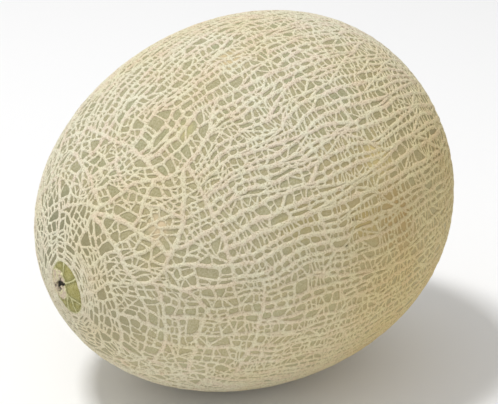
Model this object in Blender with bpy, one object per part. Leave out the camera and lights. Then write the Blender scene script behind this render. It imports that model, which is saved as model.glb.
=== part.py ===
"""Cantaloupe melon: one whole fruit, grown as one solid, with the corky net raised on its rind.

Metres, +Z up. The fruit lies on a small flat spot whose centre is the origin. Its blossom end
points to -X and dips a little, and its stem end points to +X.

The net is made the way it grows. The young rind cracks, and each crack heals as a ridge of cork.
The rind is drawn on a chart of two angles: `along`, from 0 at the blossom end to 180 degrees at
the stem end, and `turn`, around the fruit. Cells of the chart are cut in two, always the most
oversized cell, until there are CELLS of them. Then the chart is laid on the rind, and the border
of every cell is raised from the surface.
"""
import heapq
import math
import random

import bmesh
import bpy
from mathutils import Matrix, Vector, noise

MM = 0.001

# The fruit's body, at the level of the skin between the ridges
HALF_LENGTH = 86.8 * MM
HALF_WIDTH = 72.0 * MM
EGG = 0.077
FULLNESS = 0.052
SHOULDER_SWELL = 0.7 * MM
SHOULDER_SPREAD = math.radians(24)
SHOULDER = Vector((0.70, -0.18, 0.69)).normalized()

# How it lies
REST_TILT = math.radians(6)
FLAT_DEPTH = 0.5 * MM
FLAT_CLEARANCE = 0.03 * MM

# The two ends
SCAR_ANGLE = math.radians(3.3)
PATCH_ANGLE = math.radians(8.4)
STEM_ANGLE = math.radians(175)
SCAR_DEPTH = 0.5 * MM
STEM_DEPTH = 1.3 * MM

# The net: its cells cover COARSENESS times the area of the real one's, and its ridges are broader
SEED = 4
WANDER_SEED = 1795827012
GORES = 7
CELLS = 670
COARSENESS = 12
RIDGE_HEIGHT = 1.15 * MM
FIRST_RIDGE = 2.6 * MM
SPOKE_RIDGE = 1.4 * MM
YOUNG_RIDGE = 1.7 * MM
OLD_RIDGE = 2.4 * MM
JUNCTION_SNAP = 0.7 * MM
APPETITES = (0.7, 0.85, 1.0, 1.2, 1.4)
BROAD_WARP = 4.2 * MM
FINE_WARP = 1.3 * MM

RIND_COLOUR = (0.56, 0.51, 0.33, 1.0)
RIND_ROUGHNESS = 0.72

UP = Matrix.Rotation(REST_TILT, 3, "Y") @ Vector((0, 0, 1))


def ramp(low, high, value):
    """0 below low, 1 above high, and a smooth rise between them."""
    share = min(max((value - low) / (high - low), 0.0), 1.0)
    return share * share * (3 - 2 * share)


# The rind's shape

def belly(station):
    """Girth against a plain ellipsoid's: blunter at the stem end, fuller at both ends."""
    return 1 + EGG * station + FULLNESS * station * station


def rind_point(along, turn):
    station = -math.cos(along)
    girth = HALF_WIDTH * math.sin(along) * belly(station)
    return Vector((HALF_LENGTH * station, girth * math.sin(turn), girth * math.cos(turn)))


def chart_scale(along):
    """Metres on the rind for one radian along it and for one radian of turn."""
    station = -math.cos(along)
    girth = HALF_WIDTH * math.sin(along) * belly(station)
    girth_slope = math.cos(along) * belly(station)
    girth_slope += math.sin(along) ** 2 * (EGG + 2 * FULLNESS * station)
    return math.hypot(HALF_LENGTH * math.sin(along), HALF_WIDTH * girth_slope), girth


def onto_rind(point):
    """The nearest point of the rind, found in two Newton steps, and the outward normal there."""
    p = point.copy()
    for _ in range(2):
        station = p.x / HALF_LENGTH
        width = HALF_WIDTH * belly(station)
        width_slope = HALF_WIDTH * (EGG + 2 * FULLNESS * station) / HALF_LENGTH
        reach = p.y * p.y + p.z * p.z
        miss = station * station + reach / width ** 2 - 1
        uphill = Vector((2 * station / HALF_LENGTH - 2 * reach * width_slope / width ** 3,
                         2 * p.y / width ** 2, 2 * p.z / width ** 2))
        p -= uphill * (miss / uphill.length_squared)
    normal = uphill.normalized()
    off_axis = p.angle(SHOULDER) / SHOULDER_SPREAD
    return p + normal * SHOULDER_SWELL * math.exp(-off_axis * off_axis), normal


def resting_point():
    """The lowest point of the tilted fruit."""
    underside = [rind_point(math.radians(tenths / 10), math.pi) for tenths in range(600, 1200)]
    return min(underside, key=UP.dot)


# How the net changes from the blossom end to the stem end

def cell_target(along):
    """The area that cells aim for: smallest in the rings round the blossom end."""
    degrees = math.degrees(along)
    area = 5.0 + 8.5 * ramp(12, 40, degrees)
    area -= 3.6 * ramp(50, 90, degrees)
    area -= 2.5 * ramp(140, 170, degrees)
    return area * COARSENESS * MM * MM


def cell_stretch(along, size):
    """How long a cell may be along the fruit, against its width, before it cracks across.

    Round the blossom end it is short, which makes rings. From the middle to the stem end a large
    cell may be long, which makes strips, and a small one short, which makes their rungs.
    """
    degrees = math.degrees(along)
    rings = 0.36 + 0.64 * ramp(15, 32, degrees)
    strips = -0.25 + 2.6 * ramp(1.9, 4.5, size) + 5.0 * ramp(5, 25, size)
    stem_rings = 1 - 0.55 * ramp(160, 172, degrees)
    return rings * (1 + strips * ramp(42, 64, degrees)) * stem_rings


def cell_order(along):
    """The share of cracks that follow the fruit's own two directions."""
    degrees = math.degrees(along)
    return max(1 - ramp(18, 34, degrees), 0.9 * ramp(48, 70, degrees))


# Cracking the chart

def chart_polygon(face):
    """The face's corners as (along, turn), with the turn running on past 180 degrees."""
    first = None
    corners = []
    for vertex in face.verts:
        turn = math.atan2(vertex.co.y, vertex.co.z)
        first = turn if first is None else first
        turn += 2 * math.pi * round((first - turn) / (2 * math.pi))
        corners.append((vertex.co.x, turn))
    return corners


def polygon_moments(points):
    """Area, centroid and second moments of a polygon about its centroid."""
    area = cx = cy = 0.0
    pairs = list(zip(points, points[1:] + points[:1]))
    for (x0, y0), (x1, y1) in pairs:
        cross = x0 * y1 - x1 * y0
        area += cross / 2
        cx += (x0 + x1) * cross
        cy += (y0 + y1) * cross
    cx /= 6 * area
    cy /= 6 * area
    xx = yy = xy = 0.0
    for (x0, y0), (x1, y1) in pairs:
        x0, y0, x1, y1 = x0 - cx, y0 - cy, x1 - cx, y1 - cy
        cross = x0 * y1 - x1 * y0
        xx += (x0 * x0 + x0 * x1 + x1 * x1) * cross / (12 * area)
        yy += (y0 * y0 + y0 * y1 + y1 * y1) * cross / (12 * area)
        xy += (x0 * y1 + 2 * x0 * y0 + 2 * x1 * y1 + x1 * y0) * cross / (24 * area)
    return area, cx, cy, xx, yy, xy


def split_cell(face, side, widths, new_width):
    """Cuts the face where `side`, a number at each corner, changes sign. Returns the new face."""
    corners = chart_polygon(face)
    loops = list(face.loops)
    along_scale, turn_scale = chart_scale(sum(c[0] for c in corners) / len(corners))
    ends = []
    splits = []
    for i, (here, loop) in enumerate(zip(corners, loops)):
        j = (i + 1) % len(corners)
        if (side[i] < 0) == (side[j] < 0):
            continue
        share = side[i] / (side[i] - side[j])
        step = (corners[j][0] - here[0], corners[j][1] - here[1])
        length = math.hypot(step[0] * along_scale, step[1] * turn_scale)
        if share * length < JUNCTION_SNAP:
            ends.append(loop.vert)
        elif (1 - share) * length < JUNCTION_SNAP:
            ends.append(loops[j].vert)
        else:
            splits.append((loop.edge, loop.vert, share))
            ends.append((here[0] + step[0] * share, here[1] + step[1] * share))
    if len(ends) != 2:
        return None
    for edge, vertex, share in splits:
        width = edge[widths]
        new_edge, new_vertex = bmesh.utils.edge_split(edge, vertex, share)
        edge[widths] = new_edge[widths] = width
        slot = next(i for i, end in enumerate(ends) if isinstance(end, tuple))
        along, turn = ends[slot]
        new_vertex.co = (along, math.sin(turn), math.cos(turn))
        ends[slot] = new_vertex
    first, second = ends
    if first is second or any(second in edge.verts for edge in first.link_edges):
        return None
    new_face, _ = bmesh.utils.face_split(face, first, second)
    crack = next(edge for edge in first.link_edges if second in edge.verts)
    crack[widths] = new_width
    return new_face


def crack_cell(face, widths, rng):
    """Cracks a cell across its longer direction, a little off its middle."""
    corners = chart_polygon(face)
    flat_area, along, turn, *_ = polygon_moments(corners)
    along_scale, turn_scale = chart_scale(along)
    size = abs(flat_area) * along_scale * turn_scale / cell_target(along)
    stretch = cell_stretch(along, size)
    local = [((a - along) * along_scale / stretch, (b - turn) * turn_scale) for a, b in corners]
    _, cx, cy, xx, yy, xy = polygon_moments(local)
    angle = 0.5 * math.atan2(2 * xy, xx - yy)
    order = cell_order(along)
    if rng.random() < order:
        angle = 0.0 if abs(math.cos(angle)) > abs(math.sin(angle)) else math.pi / 2
        angle += rng.gauss(0, 0.10)
    else:
        angle += rng.gauss(0, 0.2 + 0.3 * (1 - order) * (min(xx, yy) / max(xx, yy)))
    longest = Vector((math.cos(angle), math.sin(angle)))
    off_middle = rng.uniform(-0.32, 0.32) * math.sqrt(3 * max(xx, yy))
    centre = Vector((cx, cy)) + longest * off_middle
    side = [(Vector(point) - centre).dot(longest) for point in local]
    ridge = YOUNG_RIDGE + (OLD_RIDGE - YOUNG_RIDGE) * ramp(5, 60, size)
    return split_cell(face, side, widths, ridge * rng.uniform(0.85, 1.15))


def grow_net(cells):
    """The chart as a mesh: gores between the two ends, cracked until there are enough cells."""
    rng = random.Random(SEED)
    bm = bmesh.new()
    widths = bm.edges.layers.float.new("width")
    bmesh.ops.create_cone(bm, cap_ends=True, segments=GORES, radius1=1, radius2=1,
                          depth=STEM_ANGLE - SCAR_ANGLE)
    bm.transform(Matrix.Translation(((STEM_ANGLE + SCAR_ANGLE) / 2, 0, 0))
                 @ Matrix.Rotation(math.pi / 2, 4, "Y") @ Matrix.Rotation(0.3, 4, "Z"))
    bmesh.ops.bisect_plane(bm, geom=bm.verts[:] + bm.edges[:] + bm.faces[:],
                           plane_co=(PATCH_ANGLE, 0, 0), plane_no=(1, 0, 0))
    for edge in bm.edges:
        inside_patch = min(vertex.co.x for vertex in edge.verts) < PATCH_ANGLE - 0.01
        edge[widths] = SPOKE_RIDGE if inside_patch else FIRST_RIDGE
    gores = [face for face in bm.faces if max(vertex.co.x for vertex in face.verts) > 1
             and min(vertex.co.x for vertex in face.verts) < 1]
    heap = []

    def queue(face):
        flat_area, along, *_ = polygon_moments(chart_polygon(face))
        along_scale, turn_scale = chart_scale(along)
        size = abs(flat_area) * along_scale * turn_scale / cell_target(along)
        order = len(heap) + rng.random()
        heapq.heappush(heap, (-size / rng.choice(APPETITES), order, face))

    for gore in gores:
        middle = math.radians(rng.uniform(40, 62))
        lean = math.radians(rng.uniform(-6, 6))
        corners = chart_polygon(gore)
        centre = sum(turn for _, turn in corners) / len(corners)
        side = [along - middle - lean * (turn - centre) for along, turn in corners]
        queue(split_cell(gore, side, widths, FIRST_RIDGE))
        queue(gore)
    while len(bm.faces) < cells:
        _, _, face = heapq.heappop(heap)
        new_face = crack_cell(face, widths, rng)
        if new_face:
            queue(face)
            queue(new_face)
    return bm, widths


# From the chart to the fruit

def lay_on_rind(bm):
    """Bends the chart round the fruit, with the small wander that every crack has.

    noise_vector takes its offsets from mathutils' own seed, which is the time unless it is set.
    """
    noise.seed_set(WANDER_SEED)
    pole = Vector((-HALF_LENGTH, 0, 0))
    for vertex in bm.verts:
        p = rind_point(vertex.co.x, math.atan2(vertex.co.y, vertex.co.z))
        wander = min(1.0, (p - pole).length / (30 * MM))
        broad = noise.noise_vector(p * 38 + Vector((7, 1, 3))) * BROAD_WARP
        fine = noise.noise_vector(p * 130 + Vector((1, 5, 9))) * FINE_WARP
        vertex.co = p + broad * (0.15 + 0.85 * wander) + fine * (0.3 + 0.7 * wander)
    bmesh.ops.smooth_vert(bm, verts=bm.verts, factor=0.35,
                          use_axis_x=True, use_axis_y=True, use_axis_z=True)
    for vertex in bm.verts:
        vertex.co = onto_rind(vertex.co)[0]


def raised(point, height, flat_level):
    """The point's place on the rind, raised by height but kept off the plane of the flat spot."""
    base, normal = onto_rind(point)
    fall = -normal.dot(UP)
    if fall > 0:
        room = (base.dot(UP) - flat_level - FLAT_CLEARANCE) / fall
        height = min(height, max(room, 0.0))
    return base + normal * height


def inner_corners(face, widths):
    """Where the ridges on the cell's borders meet its floor: a corner for each corner, and a core."""
    points = [vertex.co.copy() for vertex in face.verts]
    middle = sum(points, Vector()) / len(points)
    normal = onto_rind(middle)[1]
    east = (points[0] - middle).cross(normal).normalized()
    north = normal.cross(east)
    flat = [Vector(((p - middle).dot(east), (p - middle).dot(north))) for p in points]
    _, cx, cy, *_ = polygon_moments([tuple(p) for p in flat])
    core = Vector((cx, cy))
    borders = []
    for i, loop in enumerate(face.loops):
        run = flat[(i + 1) % len(flat)] - flat[i]
        inward = Vector((-run.y, run.x)).normalized()
        if (core - flat[i]).dot(inward) < 0:
            inward = -inward
        borders.append((flat[i], inward, loop.edge[widths] / 2))
    corners = []
    for p, on_rind in zip(flat, points):
        share = 0.0
        for start, inward, half in borders:
            depth = (p - start).dot(inward)
            run = (core - start).dot(inward) - depth
            if depth < half and run > 1e-7:
                share = max(share, (half - depth) / run)
        corners.append(on_rind.lerp(middle + east * cx + north * cy, min(share, 0.8)))
    return corners, middle + east * cx + north * cy


def raise_net(bm, widths, flat_level):
    """Raises every border and lays the floors of the cells and of the two end scars."""
    cells = bm.faces[:]
    scar = min(cells, key=lambda face: face.calc_center_median().x)
    stem = max(cells, key=lambda face: face.calc_center_median().x)
    floors = [inner_corners(face, widths) for face in cells]
    for vertex in bm.verts:
        widest = max(edge[widths] for edge in vertex.link_edges)
        height = RIDGE_HEIGHT * (0.4 + 0.6 * ramp(SPOKE_RIDGE, OLD_RIDGE, widest))
        vertex.co = raised(vertex.co, height, flat_level)
    bmesh.ops.inset_individual(bm, faces=cells, thickness=0, depth=0)
    for face, (corners, _) in zip(cells, floors):
        for vertex, corner in zip(face.verts, corners):
            vertex.co = raised(corner, 0.0, flat_level)
    depths = [{scar: SCAR_DEPTH, stem: STEM_DEPTH}.get(face, 0.0) for face in cells]
    hubs = bmesh.ops.poke(bm, faces=cells)["verts"]
    for hub, (_, core), depth in zip(hubs, floors, depths):
        base, normal = onto_rind(core)
        hub.co = base - normal * depth


def cut_flat_spot(bm, flat_level):
    """Cuts off what lies below the flat spot's plane and closes the cut."""
    cut = bmesh.ops.bisect_plane(bm, geom=bm.verts[:] + bm.edges[:] + bm.faces[:], dist=1e-7,
                                 plane_co=UP * flat_level, plane_no=-UP, clear_outer=True)
    rim = [item for item in cut["geom_cut"] if isinstance(item, bmesh.types.BMEdge)]
    bmesh.ops.contextual_create(bm, geom=rim)


def make_rind_material():
    material = bpy.data.materials.new("rind")
    material.use_nodes = True
    shader = material.node_tree.nodes["Principled BSDF"]
    shader.inputs["Base Color"].default_value = RIND_COLOUR
    shader.inputs["Roughness"].default_value = RIND_ROUGHNESS
    shader.inputs["Metallic"].default_value = 0.0
    return material


def make_melon():
    lowest = resting_point()
    flat_level = lowest.dot(UP) + FLAT_DEPTH
    bm, widths = grow_net(CELLS)
    lay_on_rind(bm)
    raise_net(bm, widths, flat_level)
    cut_flat_spot(bm, flat_level)
    bm.transform(Matrix.Rotation(-REST_TILT, 4, "Y")
                 @ Matrix.Translation(-lowest - UP * FLAT_DEPTH))
    bmesh.ops.recalc_face_normals(bm, faces=bm.faces)
    mesh = bpy.data.meshes.new("melon")
    bm.to_mesh(mesh)
    bm.free()
    mesh.materials.append(make_rind_material())
    melon = bpy.data.objects.new("melon", mesh)
    bpy.context.scene.collection.objects.link(melon)
    return melon


def main():
    for item in list(bpy.data.objects):
        bpy.data.objects.remove(item)
    make_melon()


main()
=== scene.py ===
"""The looks of a whole cantaloupe melon: its fine raised net, its skin and its two end scars.

Metres, +Z up, in the frame of the solid that this replaces. The blossom end points to -X, the stem
end to +X, and the centre of the flat spot is the origin. Shapes are made in the fruit's own frame,
centred on its body with the X axis along it, and placed by REST at the end.

The net grows on a chart of two angles: `along`, from 0 at the blossom end to 180 degrees at the
stem end, and `turn`, around the fruit. Cells of the chart crack in two until there are CELLS of
them. Then the chart is laid on the rind, and the border of every cell is raised as a ridge.
"""

import heapq
import math
import random
from collections import namedtuple

import bmesh
import bpy
from mathutils import Matrix, Vector, noise


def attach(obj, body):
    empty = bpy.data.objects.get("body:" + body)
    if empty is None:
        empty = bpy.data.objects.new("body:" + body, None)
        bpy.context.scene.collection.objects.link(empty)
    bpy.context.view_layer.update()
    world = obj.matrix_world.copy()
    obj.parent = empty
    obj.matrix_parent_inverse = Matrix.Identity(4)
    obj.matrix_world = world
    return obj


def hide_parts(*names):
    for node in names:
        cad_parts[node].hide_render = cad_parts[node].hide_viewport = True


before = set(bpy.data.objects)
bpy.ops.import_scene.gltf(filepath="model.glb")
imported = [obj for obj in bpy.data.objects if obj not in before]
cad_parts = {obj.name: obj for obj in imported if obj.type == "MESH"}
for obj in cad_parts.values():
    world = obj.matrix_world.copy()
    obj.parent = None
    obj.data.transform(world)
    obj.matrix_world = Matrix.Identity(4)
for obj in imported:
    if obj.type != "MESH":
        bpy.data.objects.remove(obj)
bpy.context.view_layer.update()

MM = 0.001

# The fruit's body, at the level of the skin between the ridges
HALF_LENGTH = 87.0 * MM
HALF_WIDTH = 72.2 * MM
EGG = 0.077
FULLNESS = 0.052
SHOULDER_SWELL = 0.7 * MM
SHOULDER_SPREAD = math.radians(24)
SHOULDER = Vector((0.70, -0.18, 0.69)).normalized()

# How it lies
REST_TILT = math.radians(6)
FLAT_DEPTH = 0.5 * MM
FLAT_CLEARANCE = 0.03 * MM
UP = Matrix.Rotation(REST_TILT, 3, "Y") @ Vector((0, 0, 1))

# The two ends
PATCH_ANGLE = math.radians(8.4)
STEM_ANGLE = math.radians(175)
DISC_OVERLAP = math.radians(0.5)

# The net
SEED = 4
GORES = 7
CELLS = 8900
RIDGE_HEIGHT = 0.6 * MM
FIRST_RIDGE = 1.8 * MM
THIN_RIDGE = 0.57 * MM
JUNCTION_SNAP = 0.5 * MM
APPETITES = (0.5, 0.7, 0.85, 1.0, 1.2, 1.6, 2.5)
BENT_EDGE = 1.7 * MM
SECTORS = 4

# How the cracks wander on the rind. The waves are counts for a metre
SPOKE_SWAY = 0.22
BROAD_WARP = 4.2 * MM
BROAD_WAVES = 38
FINE_WARP = 1.5 * MM
FINE_WAVES = 130
TREMOR = 0.42 * MM
TREMOR_WAVES = 320
CALM_REACH = 30 * MM
SMOOTHING = 0.35

# The ridges' cross-section, from the crown to the foot: share of the way down the side and rise
PROFILE = ((0.52, 0.91), (0.86, 0.5), (1.0, 0.0))
PLAIN_PROFILE = ((0.6, 0.80), (1.0, 0.0))
PROFILED_CELL = 3.0 * MM * MM
RIDGE_FRAY = 0.3
KNOB_WAVES = 420
NARROWEST_FLOOR = 0.7
CORNER_ROUNDING = 0.03
END_DEPTH = 7.0 * MM
NET_SLOT, SKIN_SLOT = 0, 1

# The end discs
SCAR_STEPS = 168
SCAR_RINGS = 44
SCAR_WALL = 1.6 * MM

# The camera, from the photo
PHOTO_WIDTH = 498
PHOTO_HEIGHT = 404
CAMERA_TURN = math.radians(40.2)
CAMERA_RISE = math.radians(23.4)
CAMERA_DISTANCE = 0.70
FOCAL_PIXELS = 1766
SHIFT_PIXELS = (5.9, 2.1)
SENSOR_MM = 36


def ramp(low, high, value):
    """0 below low, 1 above high, and a smooth rise between them."""
    share = min(max((value - low) / (high - low), 0.0), 1.0)
    return share * share * (3 - 2 * share)


# The rind's shape

def belly(station):
    """Girth against a plain ellipsoid's: blunter at the stem end, fuller at both ends."""
    return 1 + EGG * station + FULLNESS * station * station


def rind_point(along, turn):
    station = -math.cos(along)
    girth = HALF_WIDTH * math.sin(along) * belly(station)
    return Vector((HALF_LENGTH * station, girth * math.sin(turn), girth * math.cos(turn)))


def chart_scale(along):
    """Metres on the rind for one radian along it and for one radian of turn."""
    station = -math.cos(along)
    girth = HALF_WIDTH * math.sin(along) * belly(station)
    girth_slope = math.cos(along) * belly(station)
    girth_slope += math.sin(along) ** 2 * (EGG + 2 * FULLNESS * station)
    return math.hypot(HALF_LENGTH * math.sin(along), HALF_WIDTH * girth_slope), girth


def narrowed(point):
    """The rings round the blossom end are squeezed sideways, as its patch is taller than wide."""
    share = ramp(-68 * MM, -86 * MM, point.x)
    return Vector((point.x, point.y * (1 - 0.15 * share) - 1.2 * MM * share,
                   point.z * (1 + 0.05 * share)))


def onto_rind(point):
    """The nearest point of the rind, found in two Newton steps, and the outward normal there."""
    p = point.copy()
    for _ in range(2):
        station = p.x / HALF_LENGTH
        width = HALF_WIDTH * belly(station)
        width_slope = HALF_WIDTH * (EGG + 2 * FULLNESS * station) / HALF_LENGTH
        reach = p.y * p.y + p.z * p.z
        miss = station * station + reach / width ** 2 - 1
        uphill = Vector((2 * station / HALF_LENGTH - 2 * reach * width_slope / width ** 3,
                         2 * p.y / width ** 2, 2 * p.z / width ** 2))
        p -= uphill * (miss / uphill.length_squared)
    normal = uphill.normalized()
    off_axis = p.angle(SHOULDER) / SHOULDER_SPREAD
    return p + normal * SHOULDER_SWELL * math.exp(-off_axis * off_axis), normal


def resting_point():
    """The lowest point of the tilted fruit."""
    underside = [rind_point(math.radians(tenths / 10), math.pi) for tenths in range(600, 1200)]
    return min(underside, key=UP.dot)


LOWEST = resting_point()
FLAT_LEVEL = LOWEST.dot(UP) + FLAT_DEPTH
REST = Matrix.Rotation(-REST_TILT, 4, "Y") @ Matrix.Translation(-LOWEST - UP * FLAT_DEPTH)
BODY_CENTRE = REST @ Vector((0, 0, 0))
CAMERA_BACK = Vector((-math.sin(CAMERA_TURN) * math.cos(CAMERA_RISE),
                      -math.cos(CAMERA_TURN) * math.cos(CAMERA_RISE), math.sin(CAMERA_RISE)))


def rind_under_pixel(px, py):
    """The point of the rind that the photo shows at a pixel, in the fruit's own frame."""
    right = CAMERA_BACK.cross(Vector((0, 0, -1))).normalized()
    above = CAMERA_BACK.cross(right)
    across = (px - PHOTO_WIDTH / 2 + SHIFT_PIXELS[0]) / FOCAL_PIXELS
    down = (py - PHOTO_HEIGHT / 2 - SHIFT_PIXELS[1]) / FOCAL_PIXELS
    ray = REST.to_3x3().inverted() @ (right * across - above * down - CAMERA_BACK)
    eye = REST.to_3x3().inverted() @ (CAMERA_BACK * CAMERA_DISTANCE)
    near, far = 0.5 * CAMERA_DISTANCE, CAMERA_DISTANCE
    for _ in range(24):
        middle = (near + far) / 2
        spot = eye + ray * middle
        reach = math.hypot(spot.y, spot.z) / (HALF_WIDTH * belly(spot.x / HALF_LENGTH))
        if (spot.x / HALF_LENGTH) ** 2 + reach ** 2 > 1:
            near = middle
        else:
            far = middle
    return eye + ray * far


# Ripe stains and specks: photo pixel, spread, colour and strength
STAINS = (
    (396, 214, 16 * MM, (176, 144, 86), 0.75),
    (366, 222, 9 * MM, (190, 166, 98), 0.65),
    (366, 190, 34 * MM, (190, 168, 114), 0.4),
    (410, 240, 9 * MM, (186, 158, 104), 0.5),
    (378, 160, 9 * MM, (226, 206, 142), 0.6),
    (232, 58, 9 * MM, (224, 198, 152), 0.45),
    (158, 228, 6 * MM, (232, 208, 172), 0.6),
    (91, 279, 2.5 * MM, (214, 184, 150), 0.5),
    (300, 225, 12 * MM, (186, 170, 114), 0.5),
    (186, 130, 4.5 * MM, (202, 192, 130), 0.45),
    (354, 221, 1.3 * MM, (110, 90, 46), 1.0),
    (346, 247, 1.3 * MM, (84, 80, 44), 1.0),
    (299, 380, 1.3 * MM, (96, 92, 52), 1.0),
)
# Towards the first side the rind takes a tan tint that is partly the ripe skin's colour and partly
# painted shade.
TAN_AND_SHADE_SIDE = (0.55, -0.8, -0.25)
# Towards the second side, the lower front, the colours are pulled to one middle tone: painted shade
# on the ridges and painted light on the floors.
EVENED_LIGHT_SIDE = (-0.2, -0.75, -0.63)


# How the net changes from the blossom end to the stem end

def cell_target(along):
    """The area that cells aim for: largest a little off the blossom end, least at the stem end."""
    degrees = math.degrees(along)
    area = 11.6 + 1.4 * ramp(14, 30, degrees)
    area -= 1.2 * ramp(50, 90, degrees)
    area -= 3.5 * ramp(140, 170, degrees)
    return area * MM * MM


def cell_stretch(along, size):
    """How long a cell may be along the fruit, against its width, before it cracks across.

    Round the blossom end it is short, which makes rings. From the middle to the stem end a large
    cell may be long, which makes strips, and a small one short, which makes their rungs.
    """
    degrees = math.degrees(along)
    rings = 0.28 + 0.72 * ramp(12, 26, degrees)
    strips = -0.33 + 2.5 * ramp(2.9, 6.8, size) + 5.0 * ramp(7, 30, size)
    stem_rings = 1 - 0.55 * ramp(160, 172, degrees)
    return rings * (1 + strips * ramp(42, 64, degrees)) * stem_rings


def cell_order(along):
    """The share of cracks that follow the fruit's own two directions."""
    degrees = math.degrees(along)
    return max(0.88 - 0.88 * ramp(13, 26, degrees), 0.8 * ramp(48, 70, degrees))


def ridge_width(size, along, leaning, rng):
    """Broader for the old cracks, which cut large cells, and for those that part two strips.

    The rings round the blossom end are all alike. `leaning` is the share of the crack that runs
    along the fruit.
    """
    width = 0.33 * ramp(1.6, 5, size) + 0.85 * ramp(5, 45, size)
    lengthwise = 0.5 * ramp(1.2, 3, size) + 0.6 * ramp(3, 9, size)
    lengthwise *= ramp(0.6, 0.95, leaning) * ramp(48, 70, math.degrees(along))
    in_rings = ramp(28, 14, math.degrees(along))
    width = max(width, lengthwise) + 0.14 * ramp(66, 44, math.degrees(along))
    width = width * (1 - in_rings) + 0.62 * in_rings
    return (THIN_RIDGE + width * MM) * rng.uniform(0.8, 1.2)


# Cracking the chart

def chart_polygon(face):
    """The face's corners as (along, turn), with the turn running on past 180 degrees."""
    first = None
    corners = []
    for vertex in face.verts:
        turn = math.atan2(vertex.co.y, vertex.co.z)
        first = turn if first is None else first
        turn += 2 * math.pi * round((first - turn) / (2 * math.pi))
        corners.append((vertex.co.x, turn))
    return corners


def polygon_moments(points):
    """Area, centroid and second moments of a polygon about its centroid."""
    area = cx = cy = 0.0
    pairs = list(zip(points, points[1:] + points[:1]))
    for (x0, y0), (x1, y1) in pairs:
        cross = x0 * y1 - x1 * y0
        area += cross / 2
        cx += (x0 + x1) * cross
        cy += (y0 + y1) * cross
    cx /= 6 * area
    cy /= 6 * area
    xx = yy = xy = 0.0
    for (x0, y0), (x1, y1) in pairs:
        x0, y0, x1, y1 = x0 - cx, y0 - cy, x1 - cx, y1 - cy
        cross = x0 * y1 - x1 * y0
        xx += (x0 * x0 + x0 * x1 + x1 * x1) * cross / (12 * area)
        yy += (y0 * y0 + y0 * y1 + y1 * y1) * cross / (12 * area)
        xy += (x0 * y1 + 2 * x0 * y0 + 2 * x1 * y1 + x1 * y0) * cross / (24 * area)
    return area, cx, cy, xx, yy, xy


def split_cell(face, side, widths, new_width):
    """Cuts the face where `side`, a number at each corner, changes sign. Returns the new face."""
    corners = chart_polygon(face)
    loops = list(face.loops)
    along_scale, turn_scale = chart_scale(sum(c[0] for c in corners) / len(corners))
    ends = []
    splits = []
    for i, (here, loop) in enumerate(zip(corners, loops)):
        j = (i + 1) % len(corners)
        if (side[i] < 0) == (side[j] < 0):
            continue
        share = side[i] / (side[i] - side[j])
        step = (corners[j][0] - here[0], corners[j][1] - here[1])
        length = math.hypot(step[0] * along_scale, step[1] * turn_scale)
        if share * length < JUNCTION_SNAP:
            ends.append(loop.vert)
        elif (1 - share) * length < JUNCTION_SNAP:
            ends.append(loops[j].vert)
        else:
            splits.append((loop.edge, loop.vert, share))
            ends.append((here[0] + step[0] * share, here[1] + step[1] * share))
    if len(ends) != 2:
        return None
    for edge, vertex, share in splits:
        width = edge[widths]
        new_edge, new_vertex = bmesh.utils.edge_split(edge, vertex, share)
        edge[widths] = new_edge[widths] = width
        slot = next(i for i, end in enumerate(ends) if isinstance(end, tuple))
        along, turn = ends[slot]
        new_vertex.co = (along, math.sin(turn), math.cos(turn))
        ends[slot] = new_vertex
    first, second = ends
    if first is second or any(second in edge.verts for edge in first.link_edges):
        return None
    new_face, _ = bmesh.utils.face_split(face, first, second)
    crack = next(edge for edge in first.link_edges if second in edge.verts)
    crack[widths] = new_width
    return new_face


def crack_cell(face, widths, rng):
    """Cracks a cell across its longer direction, a little off its middle.

    `swirl` turns the ordered cracks together in places, and `tangle` leaves them out of order.
    """
    corners = chart_polygon(face)
    flat_area, along, turn, *_ = polygon_moments(corners)
    along_scale, turn_scale = chart_scale(along)
    size = abs(flat_area) * along_scale * turn_scale / cell_target(along)
    stretch = cell_stretch(along, size) * rng.uniform(0.78, 1.28)
    local = [((a - along) * along_scale / stretch, (b - turn) * turn_scale) for a, b in corners]
    _, cx, cy, xx, yy, xy = polygon_moments(local)
    angle = 0.5 * math.atan2(2 * xy, xx - yy)
    swirl = 0.5 * noise.noise(Vector((2.5 * along, 1.7 * math.sin(turn), 1.7 * math.cos(turn) + 5)))
    tangle = noise.noise(Vector((3.5 * along, 2.6 * math.sin(turn) + 9, 2.6 * math.cos(turn))))
    order = cell_order(along) - 0.5 * ramp(0.0, 0.35, tangle) * ramp(0.6, 1.1, along)
    if rng.random() < order:
        angle = 0.0 if abs(math.cos(angle)) > abs(math.sin(angle)) else math.pi / 2
        angle += rng.gauss(0, 0.13) + swirl * ramp(0.6, 1.1, along)
    else:
        angle += rng.gauss(0, 0.14 + 0.12 * (1 - order) * (min(xx, yy) / max(xx, yy)))
    longest = Vector((math.cos(angle), math.sin(angle)))
    off_middle = rng.uniform(-0.28, 0.28) * math.sqrt(3 * max(xx, yy))
    centre = Vector((cx, cy)) + longest * off_middle
    side = [(Vector(point) - centre).dot(longest) for point in local]
    width = ridge_width(size, along, abs(longest.y), rng)
    return split_cell(face, side, widths, width)


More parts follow.
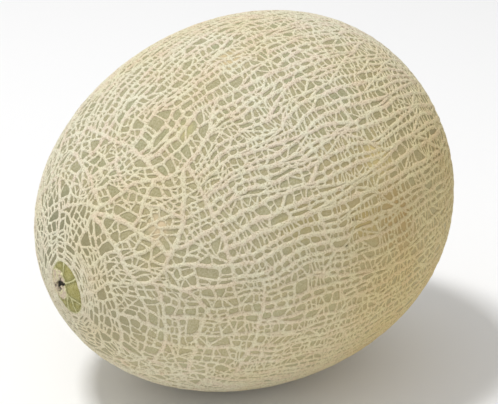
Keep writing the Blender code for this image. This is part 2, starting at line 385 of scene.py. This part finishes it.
def grow_net(cells):
    """The chart as a mesh: gores between the two ends, cracked until there are enough cells."""
    rng = random.Random(SEED)
    bm = bmesh.new()
    widths = bm.edges.layers.float.new("width")
    sector = bm.faces.layers.int.new("sector")
    bmesh.ops.create_cone(bm, cap_ends=True, segments=GORES, radius1=1, radius2=1,
                          depth=STEM_ANGLE - PATCH_ANGLE)
    bm.transform(Matrix.Translation(((STEM_ANGLE + PATCH_ANGLE) / 2, 0, 0))
                 @ Matrix.Rotation(math.pi / 2, 4, "Y") @ Matrix.Rotation(0.3, 4, "Z"))
    for edge in bm.edges:
        edge[widths] = FIRST_RIDGE
    gores = [face for face in bm.faces if max(vertex.co.x for vertex in face.verts) > 1
             and min(vertex.co.x for vertex in face.verts) < 1]
    heap = []

    def queue(face):
        flat_area, along, *_ = polygon_moments(chart_polygon(face))
        along_scale, turn_scale = chart_scale(along)
        size = abs(flat_area) * along_scale * turn_scale / cell_target(along)
        order = len(heap) + rng.random()
        heapq.heappush(heap, (-size / rng.choice(APPETITES), order, face))

    for number, gore in enumerate(gores):
        gore[sector] = number * SECTORS // GORES
        middle = math.radians(rng.uniform(40, 62))
        lean = math.radians(rng.uniform(-6, 6))
        corners = chart_polygon(gore)
        centre = sum(turn for _, turn in corners) / len(corners)
        side = [along - middle - lean * (turn - centre) for along, turn in corners]
        queue(split_cell(gore, side, widths, FIRST_RIDGE))
        queue(gore)
    while len(bm.faces) < cells:
        _, _, face = heapq.heappop(heap)
        new_face = crack_cell(face, widths, rng)
        if new_face:
            queue(face)
            queue(new_face)
    return bm, widths


# From the chart to the fruit

def chart_place(vertex):
    return vertex.co.x, math.atan2(vertex.co.y, vertex.co.z)


def add_bends(bm, widths):
    """Gives the longer cracks points between their ends, so that they can curve."""
    for edge in bm.edges[:]:
        start, end = edge.verts
        first_along, first_turn = chart_place(start)
        last_along, last_turn = chart_place(end)
        last_turn += 2 * math.pi * round((first_turn - last_turn) / (2 * math.pi))
        along_scale, turn_scale = chart_scale((first_along + last_along) / 2)
        length = math.hypot((last_along - first_along) * along_scale,
                            (last_turn - first_turn) * turn_scale)
        width = edge[widths]
        parts = min(int(length / BENT_EDGE) + 1, 5)
        for part in range(1, parts):
            new_edge, start = bmesh.utils.edge_split(edge, start, 0.5)
            edge[widths] = new_edge[widths] = width
            turn = first_turn + (last_turn - first_turn) * part / parts
            along = first_along + (last_along - first_along) * part / parts
            start.co = (along, math.sin(turn), math.cos(turn))


def lay_on_rind(bm):
    """Bends the chart round the fruit, with the wander that every crack has.

    noise_vector takes its offsets from mathutils' own seed, which is the time unless it is set.
    """
    noise.seed_set(SEED)
    for vertex in bm.verts:
        along, turn = chart_place(vertex)
        sway = noise.noise(Vector((3 * along, 1.2 * math.sin(turn) + 4, 1.2 * math.cos(turn) + 7)))
        turn += SPOKE_SWAY * sway * ramp(1.5, 0.3, along)
        vertex.co = rind_point(along, turn)
    pole = Vector((-HALF_LENGTH, 0, 0))
    for vertex in bm.verts:
        p = vertex.co
        wander = min(1.0, (p - pole).length / CALM_REACH)
        broad = noise.noise_vector(p * BROAD_WAVES + Vector((7, 1, 3))) * BROAD_WARP
        fine = noise.noise_vector(p * FINE_WAVES + Vector((1, 5, 9))) * FINE_WARP
        tremor = noise.noise_vector(p * TREMOR_WAVES) * TREMOR
        calm = 1 - 0.45 * ramp(-40 * MM, 5 * MM, p.x)
        bends = fine * (0.3 + 0.7 * wander) + tremor + broad * (0.15 + 0.85 * wander)
        vertex.co = p + bends * calm
    bmesh.ops.smooth_vert(bm, verts=bm.verts, factor=SMOOTHING,
                          use_axis_x=True, use_axis_y=True, use_axis_z=True)
    for vertex in bm.verts:
        vertex.co = onto_rind(narrowed(vertex.co))[0]


def slimness(point):
    """Ridges are slimmer in the rings round the blossom end."""
    return 0.75 + 0.25 * ramp(-84 * MM, -72 * MM, point.x)


def grooved(point):
    """The cells in the rings round the blossom end are narrow grooves, which the skin material
    darkens with painted shade.
    """
    return ramp(-72 * MM, -82 * MM, point.x)


def raised(point, height):
    """The point's place on the rind, raised by height but kept off the plane of the flat spot."""
    base, normal = onto_rind(point)
    fall = -normal.dot(UP)
    if fall > 0:
        room = (base.dot(UP) - FLAT_LEVEL - FLAT_CLEARANCE) / fall
        height = min(height, max(room, 0.0))
    return base + normal * height


def from_stretch(spot, start, end):
    """How far a spot is from the straight stretch between two points."""
    run = end - start
    share = min(max((spot - start).dot(run) / run.length_squared, 0.0), 1.0)
    return (spot - start - run * share).length


# Each corner, the foot of the ridge there, the core, the area and how many half widths of ridge the
# cell has room for
CellFloor = namedtuple("CellFloor", "corners feet core area room")


def cell_floor(face, widths):
    """Where the ridges on the cell's borders meet its floor."""
    points = [vertex.co.copy() for vertex in face.verts]
    middle = sum(points, Vector()) / len(points)
    normal = onto_rind(middle)[1]
    east = (points[0] - middle).cross(normal).normalized()
    north = normal.cross(east)
    flat = [Vector(((p - middle).dot(east), (p - middle).dot(north))) for p in points]
    area, cx, cy, *_ = polygon_moments([tuple(p) for p in flat])
    core = Vector((cx, cy))
    slim = slimness(middle)
    borders = []
    room = math.inf
    for i, loop in enumerate(face.loops):
        start, end = flat[i], flat[(i + 1) % len(flat)]
        inward = Vector((start.y - end.y, end.x - start.x)).normalized()
        if (core - start).dot(inward) < 0:
            inward = -inward
        half = loop.edge[widths] / 2 * slim
        borders.append((start, end, inward, half))
        room = min(room, from_stretch(core, start, end) / half)
    feet = []
    for p, point in zip(flat, points):
        share = 0.0
        fray = 1 + RIDGE_FRAY * noise.noise(point * KNOB_WAVES)
        for start, end, inward, half in borders:
            depth = (p - start).dot(inward)
            run = (core - start).dot(inward) - depth
            if depth < half and run > 1e-7 and from_stretch(p, start, end) < half:
                share = max(share, (half - depth) / run)
        feet.append(p.lerp(core, min(share * fray, NARROWEST_FLOOR)))
    rounded = [foot * (1 - 2 * CORNER_ROUNDING)
               + (feet[i - 1] + feet[(i + 1) % len(feet)]) * CORNER_ROUNDING
               for i, foot in enumerate(feet)]
    feet = [middle + east * foot.x + north * foot.y for foot in rounded]
    return CellFloor(points, feet, middle + east * cx + north * cy, abs(area), room)


def raise_net(bm, widths):
    """Raises every border as a rounded ridge, from its crown down to its foot on either side.

    A cell too small for its ridges fills with cork. The two end faces are pulled inwards, under the
    discs that cover them.
    """
    lift = bm.verts.layers.float.new("lift")
    tone = bm.verts.layers.float.new("tone")
    breadth = bm.verts.layers.float.new("breadth")
    # The rim layer marks each cell's ring of feet, where the skin material darkens the floor with
    # painted shade.
    rim = bm.verts.layers.float.new("rim")
    # The groove layer marks the rings round the blossom end, whose narrow grooves the skin material
    # darkens with painted shade.
    groove_shade = bm.verts.layers.float.new("groove_shade")
    rng = random.Random(SEED + 1)
    cells = bm.faces[:]
    floors = [cell_floor(face, widths) for face in cells]
    end_cells = sorted(cells, key=lambda face: face.calc_area())[-2:]
    crowns = {}
    for vertex in bm.verts:
        widest = max(edge[widths] for edge in vertex.link_edges) * slimness(vertex.co)
        knobs = 1 + 0.25 * noise.noise(vertex.co * KNOB_WAVES)
        knobs -= 0.2 * ramp(-30 * MM, 20 * MM, vertex.co.x)
        knobs *= 1 - 0.45 * grooved(vertex.co)
        crowns[vertex] = RIDGE_HEIGHT * (0.55 + 0.45 * ramp(0.6 * MM, 1.7 * MM, widest)) * knobs
        vertex[breadth] = ramp(1.1 * MM, 1.8 * MM, widest)
    heights = [[crowns[vertex] for vertex in face.verts] for face in cells]
    for vertex, height in crowns.items():
        vertex.co = raised(vertex.co, height)
        vertex[lift] = 1.0
        vertex[tone] = 0.5
    tones = [rng.random() * (1 - 0.6 * ramp(8 * MM * MM, 20 * MM * MM, floor.area))
             for floor in floors]
    fills = [1 - ramp(0.45, 0.8, floor.room) for floor in floors]

    def place_rings(picks, profile):
        faces = [cells[i] for i in picks]
        for travel, rise in profile:
            bmesh.ops.inset_individual(bm, faces=faces, thickness=0, depth=0)
            for face, i in zip(faces, picks):
                corners, feet, *_ = floors[i]
                level = max(rise, 0.55 * fills[i])
                for vertex, p, foot, height in zip(face.verts, corners, feet, heights[i]):
                    vertex.co = raised(p.lerp(foot, travel), height * level)
                    vertex[lift] = level
                    vertex[tone] = tones[i]
                    vertex[rim] = 1.0
                    vertex[groove_shade] = grooved(p)

    place_rings([i for i, floor in enumerate(floors) if floor.area > PROFILED_CELL], PROFILE)
    place_rings([i for i, floor in enumerate(floors) if floor.area <= PROFILED_CELL], PLAIN_PROFILE)
    for face, fill in zip(cells, fills):
        face.material_index = NET_SLOT if fill > 0.5 else SKIN_SLOT
    ends = [face in end_cells for face in cells]
    hubs = bmesh.ops.poke(bm, faces=cells)["verts"]
    for hub, at_end, floor, shade, fill in zip(hubs, ends, floors, tones, fills):
        base, normal = onto_rind(floor.core)
        dome = 0.03 * math.sqrt(floor.area) + 0.5 * RIDGE_HEIGHT * fill
        hub.co = base + normal * (-END_DEPTH if at_end else dome)
        hub[lift] = 0.5 * fill
        hub[tone] = shade
        hub[groove_shade] = grooved(floor.core)


def cut_flat_spot(bm):
    """Cuts off what lies below the flat spot's plane and closes the cut."""
    cut = bmesh.ops.bisect_plane(bm, geom=bm.verts[:] + bm.edges[:] + bm.faces[:], dist=1e-7,
                                 plane_co=UP * FLAT_LEVEL, plane_no=-UP, clear_outer=True)
    rim = [item for item in cut["geom_cut"] if isinstance(item, bmesh.types.BMEdge)]
    sector = bm.faces.layers.int["sector"]
    home = rim[0].link_faces[0][sector]
    for face in bmesh.ops.contextual_create(bm, geom=rim)["faces"]:
        face[sector] = home
    for edge in rim:
        edge.smooth = False


def finish_piece(name, bm, materials):
    """Places a shape in the rest frame, makes it an object and hands it to the frame."""
    bm.transform(REST)
    bmesh.ops.recalc_face_normals(bm, faces=bm.faces)
    mesh = bpy.data.meshes.new(name)
    bm.to_mesh(mesh)
    bm.free()
    for material in materials:
        mesh.materials.append(material)
    piece = bpy.data.objects.new(name, mesh)
    bpy.context.scene.collection.objects.link(piece)
    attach(piece, "root")
    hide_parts("melon")


def take_slice(bm, number):
    """One closed slice of the rind, cut free along its ridges, with walls to the fruit's centre."""
    part = bm.copy()
    sector = part.faces.layers.int["sector"]
    others = [face for face in part.faces if face[sector] != number]
    bmesh.ops.delete(part, geom=others, context="FACES")
    rim = [edge for edge in part.edges if edge.is_boundary]
    for edge in rim:
        edge.smooth = False
    wall = bmesh.ops.extrude_edge_only(part, edges=rim)["geom"]
    inner = [item for item in wall if isinstance(item, bmesh.types.BMVert)]
    bmesh.ops.pointmerge(part, verts=inner, merge_co=(0, 0, 0))
    return part


def make_netted_rind(materials):
    bm, widths = grow_net(CELLS)
    add_bends(bm, widths)
    lay_on_rind(bm)
    raise_net(bm, widths)
    for face in bm.faces:
        face.smooth = True
    for edge in bm.edges:
        edge.smooth = len({face.material_index for face in edge.link_faces}) == 1
    cut_flat_spot(bm)
    for number in range(SECTORS):
        finish_piece(f"netted_rind_{number + 1}", take_slice(bm, number), materials)
    bm.free()


# The two end scars

def make_end_disc(name, first_angle, edge_angle, relief, material):
    """A closed disc of the rind round one end, with its relief and its colours from a formula.

    `relief` takes a point and its distances across the fruit in millimetres, and gives the height
    in metres and the shares of lobe, cork, crack and brown shade there.
    """
    bm = bmesh.new()
    layers = [bm.verts.layers.float.new(part) for part in ("lobe", "cork", "crack", "shade")]
    spokes = [bm.verts.new((0, 0, ring / SCAR_RINGS)) for ring in range(SCAR_RINGS + 1)]
    edges = [bm.edges.new(pair) for pair in zip(spokes, spokes[1:])]
    bmesh.ops.spin(bm, geom=spokes + edges, cent=(0, 0, 0), axis=(1, 0, 0), angle=2 * math.pi,
                   steps=SCAR_STEPS, use_merge=True)
    bmesh.ops.remove_doubles(bm, verts=bm.verts, dist=1e-6)
    rim = [edge for edge in bm.edges if edge.is_boundary]
    for vertex in bm.verts:
        reach = math.hypot(vertex.co.y, vertex.co.z)
        along = first_angle + (edge_angle - first_angle) * reach
        flat_place = rind_point(along, math.atan2(vertex.co.y, vertex.co.z))
        base, normal = onto_rind(narrowed(flat_place))
        height, shares = relief(base, base.y / MM, base.z / MM)
        vertex.co = base + normal * height
        for layer, share in zip(layers, shares):
            vertex[layer] = share
    for face in bm.faces:
        face.smooth = True
    wall = bmesh.ops.extrude_edge_only(bm, edges=rim)["geom"]
    inward = Vector((1 if first_angle < 1 else -1, 0, 0))
    for vertex in (item for item in wall if isinstance(item, bmesh.types.BMVert)):
        vertex.co += inward * SCAR_WALL
    bmesh.ops.contextual_create(bm, geom=[edge for edge in bm.edges if edge.is_boundary])
    finish_piece(name, bm, [material])


# Lobes of the blossom patch: place across the fruit and swell, in millimetres
LOBES = ((2.4, 7.0, 0.0), (-3.4, 6.4, 0.3), (-7.2, 0.6, 1.2), (-6.3, -7.2, 0.0), (-2.2, -7.8, 0.0),
         (1.8, -6.8, 0.2), (7.6, 5.8, -0.4), (6.4, -7.0, 0.0))
CORK_SPINE = (Vector((2.6, 2.4)), Vector((3.0, -2.2)))
CORK_REACH = 3.9
CRACK_SPINE = (Vector((-0.6, 2.6)), Vector((4.6, -2.2)))


def blossom_relief(base, y, z):
    """Lobes of bare skin round an off-centre scar of flaking cork with black cracks."""
    wave = noise.noise(base * 330)
    spot = Vector((y, z)) + Vector((wave, noise.noise(base * 290 + Vector((5, 2, 0))))) * 0.5
    gaps = sorted(math.hypot(spot.x - ly, spot.y - lz) - swell for ly, lz, swell in LOBES)
    to_seam = (gaps[1] - gaps[0]) / 2
    to_cork = from_stretch(spot, *CORK_SPINE) - CORK_REACH - 0.7 * wave
    to_rim = 10.2 - math.hypot((y + 1.2) / 0.85, z / 1.05)
    inset = min(to_seam, to_cork, to_rim)
    lobe = ramp(0.16, 0.34, inset)
    shade = ramp(1.6, 0.3, inset)
    cork = ramp(0.35, -0.1, to_cork)
    flake = noise.noise(base * 800) + 0.6 * noise.noise(base * 1900)
    beside = from_stretch(spot, *CRACK_SPINE) + 0.6 * noise.noise(base * 500)
    blotch = noise.noise(base * 430 + Vector((9, 4, 2))) + 0.5 * noise.noise(base * 1000)
    crack = cork * ramp(1.9, 1.2, beside) * ramp(-0.02, 0.12, blotch)
    crumbs = cork * ramp(3.2, 1.6, beside) * ramp(-0.05, 0.3, noise.noise(base * 620))
    height = 0.05 + lobe * 0.22 * ramp(0.2, 2.0, inset) + 0.24 * (1 - lobe) * (1 - cork)
    height -= 0.35 * ramp(0.3, -0.5, to_rim)
    height += cork * (0.42 + 0.32 * flake + 0.12 * math.sin(5.2 * math.hypot(y, z))) - 0.8 * crack
    return height * MM, (lobe, cork, crack, 0.5 * crumbs + 0.45 * lobe * shade)


def stem_relief(base, y, z):
    """The round scar where the fruit slipped off its stem: a corky dish with fissures round it."""
    reach = math.hypot(y, z) + 0.35 * noise.noise(base * 260)
    flake = noise.noise(base * 700) + 0.6 * noise.noise(base * 1700)
    rings = abs(math.sin(reach * 2.1 + 1.2 * noise.noise(base * 180)))
    crack = ramp(0.30, 0.08, rings) * ramp(1.2, 2.2, reach) * ramp(7.0, 6.0, reach)
    crack *= ramp(-0.15, 0.15, noise.noise(base * 340 + Vector((0, 3, 6))))
    dish = ramp(6.4, 4.6, reach)
    height = 0.5 - 1.6 * dish + 0.35 * ramp(2.4, 0.8, reach) + 0.22 * flake - 0.35 * crack
    shade = (0.22 + 0.4 * ramp(0.1, 0.7, flake)) * dish
    return height * MM, (0.0, 1.0, 0.6 * crack * (0.5 + 0.5 * dish), shade)


# Materials

def linear(red, green, blue):
    """A colour read from the photo as 0 to 255, in Blender's linear values."""
    def one(value):
        value /= 255
        return value / 12.92 if value <= 0.04045 else ((value + 0.055) / 1.055) ** 2.4
    return one(red), one(green), one(blue), 1.0


class Nodes:
    """Adds and joins a material's or a group's nodes."""

    def __init__(self, tree):
        self.tree = tree
        self.column = 0

    def add(self, kind, inputs=None, **settings):
        node = self.tree.nodes.new(kind)
        self.column += 1
        node.location = (180 * (self.column % 12), -260 * (self.column // 12))
        for key, value in settings.items():
            setattr(node, key, value)
        for key, value in (inputs or {}).items():
            if isinstance(value, bpy.types.NodeSocket):
                self.tree.links.new(value, node.inputs[key])
            else:
                node.inputs[key].default_value = value
        return node

    def place(self):
        return self.add("ShaderNodeTexCoord").outputs["Object"]

    def attribute(self, name):
        return self.add("ShaderNodeAttribute", attribute_name=name).outputs["Fac"]

    def noise(self, place, scale, detail=3.0, rough=0.55, distortion=0.0):
        inputs = {"Vector": place, "Scale": scale, "Detail": detail, "Roughness": rough,
                  "Distortion": distortion}
        return self.add("ShaderNodeTexNoise", inputs).outputs["Fac"]

    def distance_along(self, place, direction):
        node = self.add("ShaderNodeVectorMath", {0: place, 1: direction}, operation="DOT_PRODUCT")
        return node.outputs["Value"]

    def between(self, value, low, high, start=0.0, end=1.0):
        inputs = {"Value": value, "From Min": low, "From Max": high, "To Min": start, "To Max": end}
        node = self.add("ShaderNodeMapRange", inputs, interpolation_type="SMOOTHSTEP")
        return node.outputs["Result"]

    def math(self, operation, first, second):
        return self.add("ShaderNodeMath", {0: first, 1: second}, operation=operation).outputs[0]

    def mix(self, share, first, second, blend="MIX"):
        """Mixes two colours. The Mix node's colour sockets are its 7th and 8th."""
        node = self.add("ShaderNodeMix", {0: share, 6: first, 7: second}, data_type="RGBA",
                        blend_type=blend)
        return node.outputs[2]

    def bump(self, height, distance, normal=None):
        inputs = {"Height": height, "Distance": distance, "Strength": 1.0}
        if normal:
            inputs["Normal"] = normal
        return self.add("ShaderNodeBump", inputs).outputs["Normal"]


def new_material(name, roughness):
    material = bpy.data.materials.new(name)
    material.use_nodes = True
    shader = material.node_tree.nodes["Principled BSDF"]
    shader.inputs["Roughness"].default_value = roughness
    return material, Nodes(material.node_tree), shader


def make_speckle():
    """A shared group: the flaky grain of all the fruit's surfaces, lighter and darker in specks."""
    group = bpy.data.node_groups.new("speckle", "ShaderNodeTree")
    group.interface.new_socket("Colour", in_out="INPUT", socket_type="NodeSocketColor")
    group.interface.new_socket("Place", in_out="INPUT", socket_type="NodeSocketVector")
    group.interface.new_socket("Fineness", in_out="INPUT", socket_type="NodeSocketFloat")
    group.interface.new_socket("Pale", in_out="INPUT", socket_type="NodeSocketFloat")
    group.interface.new_socket("Dark", in_out="INPUT", socket_type="NodeSocketFloat")
    group.interface.new_socket("Colour", in_out="OUTPUT", socket_type="NodeSocketColor")
    group.interface.new_socket("Height", in_out="OUTPUT", socket_type="NodeSocketFloat")
    nodes = Nodes(group)
    entry = nodes.add("NodeGroupInput")
    flakes = nodes.noise(entry.outputs["Place"], entry.outputs["Fineness"], 4, 0.7)
    pale = nodes.math("MULTIPLY", nodes.between(flakes, 0.50, 0.66), entry.outputs["Pale"])
    dark = nodes.math("MULTIPLY", nodes.between(flakes, 0.50, 0.34), entry.outputs["Dark"])
    colour = nodes.mix(pale, entry.outputs["Colour"], linear(250, 244, 220))
    colour = nodes.mix(dark, colour, linear(176, 160, 122), "MULTIPLY")
    leave = nodes.add("NodeGroupOutput")
    nodes.tree.links.new(colour, leave.inputs["Colour"])
    nodes.tree.links.new(flakes, leave.inputs["Height"])


def make_weathering():
    """A shared group: broad changes of colour over the whole rind, some of them painted shade and
    painted light, and its ripe stains.
    """
    group = bpy.data.node_groups.new("weathering", "ShaderNodeTree")
    group.interface.new_socket("Colour", in_out="INPUT", socket_type="NodeSocketColor")
    group.interface.new_socket("Place", in_out="INPUT", socket_type="NodeSocketVector")
    group.interface.new_socket("Stain", in_out="INPUT", socket_type="NodeSocketFloat")
    group.interface.new_socket("Tan and shade", in_out="INPUT", socket_type="NodeSocketColor")
    group.interface.new_socket("Colour", in_out="OUTPUT", socket_type="NodeSocketColor")
    nodes = Nodes(group)
    entry = nodes.add("NodeGroupInput")
    place = entry.outputs["Place"]
    colour = entry.outputs["Colour"]
    # Partly a real tan tint and partly painted shade: towards the first side the colour is
    # multiplied darker and yellower.
    tan_and_shade = nodes.between(nodes.distance_along(place, TAN_AND_SHADE_SIDE), 0.0, 60 * MM)
    colour = nodes.mix(tan_and_shade, colour, entry.outputs["Tan and shade"], "MULTIPLY")
    # Painted shade and painted light: towards the lower front the colour is pulled to one middle
    # tone, darkening ridges and lightening floors.
    evened_light = nodes.between(nodes.distance_along(place, EVENED_LIGHT_SIDE), -45 * MM, -5 * MM, 0.0, 0.24)
    colour = nodes.mix(evened_light, colour, linear(218, 203, 160))
    warm = nodes.between(nodes.noise(place, 24, 2), 0.45, 0.7, 0.0, 0.6)
    colour = nodes.mix(warm, colour, linear(251, 243, 224), "MULTIPLY")
    ragged = nodes.noise(place, 140, 4, 0.6)
    for px, py, spread, tint, amount in STAINS:
        centre = REST @ rind_under_pixel(px, py)
        gap = nodes.add("ShaderNodeVectorMath", {0: place, 1: centre}, operation="DISTANCE")
        edge = nodes.math("ADD", gap.outputs["Value"],
                          nodes.math("MULTIPLY", nodes.math("SUBTRACT", ragged, 0.5), spread))
        share = nodes.between(edge, spread, spread * 0.25, 0.0, amount)
        share = nodes.math("MULTIPLY", share, entry.outputs["Stain"])
        colour = nodes.mix(share, colour, linear(*tint))
    leave = nodes.add("NodeGroupOutput")
    nodes.tree.links.new(colour, leave.inputs["Colour"])


def weathered(nodes, colour, place, stain, tan_and_shade):
    """The colour after the weathering group, with its share of stain and its tan tint, partly the
    ripe skin's colour and partly painted shade.
    """
    inputs = {"Colour": colour, "Place": place, "Stain": stain, "Tan and shade": tan_and_shade}
    node = nodes.add("ShaderNodeGroup", inputs, node_tree=bpy.data.node_groups["weathering"])
    return node.outputs["Colour"]


def speckled(nodes, colour, place, fineness, pale, dark):
    """The colour after the speckle group, and the height of its flakes."""
    inputs = {"Colour": colour, "Place": place, "Fineness": fineness, "Pale": pale, "Dark": dark}
    node = nodes.add("ShaderNodeGroup", inputs, node_tree=bpy.data.node_groups["speckle"])
    return node.outputs["Colour"], node.outputs["Height"]


def make_net_material():
    """Dry cork: cream, finely flaked, pinkish on broad ridges, with painted shade darkening their
    sides towards the feet.
    """
    material, nodes, shader = new_material("corky_net", 0.85)
    place = nodes.place()
    lift = nodes.attribute("lift")
    patches = nodes.noise(place, 170, 3)
    colour = nodes.mix(nodes.between(patches, 0.35, 0.65), linear(240, 236, 209),
                       linear(239, 230, 204))
    pink = nodes.math("MULTIPLY", nodes.attribute("breadth"), nodes.between(patches, 0.4, 0.62))
    colour = nodes.mix(nodes.math("MULTIPLY", pink, 0.55), colour, linear(240, 221, 201))
    colour, flakes = speckled(nodes, colour, place, 1600.0, 0.55, 0.75)
    ragged_lift = nodes.math("ADD", lift, nodes.math("MULTIPLY", flakes, 0.3))
    # Painted shade: the cork darkens down the ridges' sides towards their feet, with a ragged edge
    # from the flakes.
    colour = nodes.mix(nodes.between(ragged_lift, 0.7, 0.2, 0.0, 0.4), colour, linear(148, 134, 94))
    colour = weathered(nodes, colour, place, 0.22, linear(239, 226, 187))
    nodes.tree.links.new(colour, shader.inputs["Base Color"])
    nodes.tree.links.new(nodes.between(flakes, 0.3, 0.7, 0.95, 0.72), shader.inputs["Roughness"])
    nodes.tree.links.new(nodes.bump(flakes, 0.0007), shader.inputs["Normal"])
    return material


def make_skin_material():
    """The skin between the ridges: grey-green, each cell its own shade of colour, with painted
    shade at the ridges' feet and in the narrow grooves round the blossom end.
    """
    material, nodes, shader = new_material("melon_skin", 0.6)
    place = nodes.place()
    tone = nodes.attribute("tone")
    colour = nodes.mix(nodes.between(tone, 0.2, 0.95), linear(188, 186, 155), linear(200, 191, 158))
    colour = nodes.mix(nodes.between(tone, 0.3, 0.0, 0.0, 0.8), colour, linear(177, 186, 155))
    mottle = nodes.noise(place, 300, 3, 0.6)
    colour = nodes.mix(nodes.between(mottle, 0.4, 0.7, 0.0, 0.5), colour, linear(208, 203, 172))
    colour, flakes = speckled(nodes, colour, place, 1700.0, 0.6, 0.8)
    # Painted shade: the floor darkens towards its rim, at the ridges' feet.
    rim = nodes.between(nodes.attribute("rim"), 0.6, 1.0, 0.0, 0.55)
    colour = nodes.mix(rim, colour, linear(146, 138, 98))
    # Painted shade: the narrow grooves of the rings round the blossom end are darkened.
    groove_shade = nodes.math("MULTIPLY", nodes.attribute("groove_shade"), 0.55)
    colour = nodes.mix(groove_shade, colour, linear(112, 108, 76))
    stain = nodes.between(tone, 0.0, 0.6, 0.8, 1.25)
    colour = weathered(nodes, colour, place, stain, linear(242, 225, 186))
    nodes.tree.links.new(colour, shader.inputs["Base Color"])
    nodes.tree.links.new(nodes.between(flakes, 0.3, 0.7, 0.75, 0.5), shader.inputs["Roughness"])
    nodes.tree.links.new(nodes.bump(flakes, 0.0003), shader.inputs["Normal"])
    return material


def make_scar_material():
    """The two end scars: lobes of bare skin, pale seams, flaky cork and dark cracks in it."""
    material, nodes, shader = new_material("end_scar", 0.75)
    place = nodes.place()
    lobe, cork, crack, shade = map(nodes.attribute, ("lobe", "cork", "crack", "shade"))
    mottle = nodes.noise(place, 420, 3)
    bare = nodes.mix(nodes.between(mottle, 0.35, 0.65), linear(160, 153, 84), linear(174, 167, 100))
    bare = nodes.mix(shade, bare, linear(96, 100, 52))
    colour = nodes.mix(lobe, linear(212, 208, 158), bare)
    dry = nodes.mix(nodes.between(mottle, 0.4, 0.6), linear(214, 196, 172), linear(226, 218, 176))
    dry = nodes.mix(shade, dry, linear(92, 66, 60))
    colour = nodes.mix(cork, colour, dry)
    colour, flakes = speckled(nodes, colour, place, 1400.0, 0.2, 0.5)
    colour = nodes.mix(crack, colour, linear(34, 28, 12))
    nodes.tree.links.new(colour, shader.inputs["Base Color"])
    nodes.tree.links.new(nodes.between(flakes, 0.3, 0.7, 0.9, 0.62), shader.inputs["Roughness"])
    nodes.tree.links.new(nodes.bump(flakes, 0.0004), shader.inputs["Normal"])
    return material


# The stage

FLOOR_REACH = 6
FLOOR_COLOUR = (0.9, 0.9, 0.9, 1)
WORLD_COLOUR = (1, 1, 1, 1)
WORLD_STRENGTH = 0.57


def make_floor():
    bm = bmesh.new()
    bmesh.ops.create_grid(bm, x_segments=1, y_segments=1, size=FLOOR_REACH)
    mesh = bpy.data.meshes.new("floor")
    bm.to_mesh(mesh)
    bm.free()
    material, _, shader = new_material("pale_floor", 0.9)
    shader.inputs["Base Color"].default_value = FLOOR_COLOUR
    mesh.materials.append(material)
    floor = bpy.data.objects.new("floor", mesh)
    bpy.context.scene.collection.objects.link(floor)


def make_light(name, place, size, power):
    """A square light at a place from the fruit's middle, in metres, that shines at it."""
    lamp = bpy.data.lights.new(name, "AREA")
    lamp.size = size
    lamp.energy = power
    light = bpy.data.objects.new(name, lamp)
    light.location = BODY_CENTRE + Vector(place)
    light.rotation_euler = (-Vector(place)).to_track_quat("-Z", "Y").to_euler()
    bpy.context.scene.collection.objects.link(light)


def make_camera():
    lens = bpy.data.cameras.new("camera")
    lens.sensor_width = SENSOR_MM
    lens.lens = FOCAL_PIXELS * SENSOR_MM / PHOTO_WIDTH
    lens.shift_x = SHIFT_PIXELS[0] / PHOTO_WIDTH
    lens.shift_y = SHIFT_PIXELS[1] / PHOTO_WIDTH
    camera = bpy.data.objects.new("camera", lens)
    camera.location = BODY_CENTRE + CAMERA_BACK * CAMERA_DISTANCE
    camera.rotation_euler = (-CAMERA_BACK).to_track_quat("-Z", "Y").to_euler()
    bpy.context.scene.collection.objects.link(camera)
    bpy.context.scene.camera = camera


def make_stage():
    make_floor()
    make_light("key", place=(-0.5, 0.26, 1.61), size=0.3, power=18.4)
    make_light("fill", place=(-0.45, -1.5, 0.5), size=1.0, power=2.8)
    world = bpy.data.worlds.new("studio")
    world.use_nodes = True
    background = world.node_tree.nodes["Background"]
    background.inputs["Color"].default_value = WORLD_COLOUR
    background.inputs["Strength"].default_value = WORLD_STRENGTH
    bpy.context.scene.world = world
    bpy.context.scene.view_settings.view_transform = "Standard"


make_camera()
make_speckle()
make_weathering()
make_netted_rind([make_net_material(), make_skin_material()])
scar = make_scar_material()
make_end_disc("blossom_end", 0.0, PATCH_ANGLE + DISC_OVERLAP, blossom_relief, scar)
make_end_disc("stem_end", math.pi, STEM_ANGLE - DISC_OVERLAP, stem_relief, scar)
make_stage()
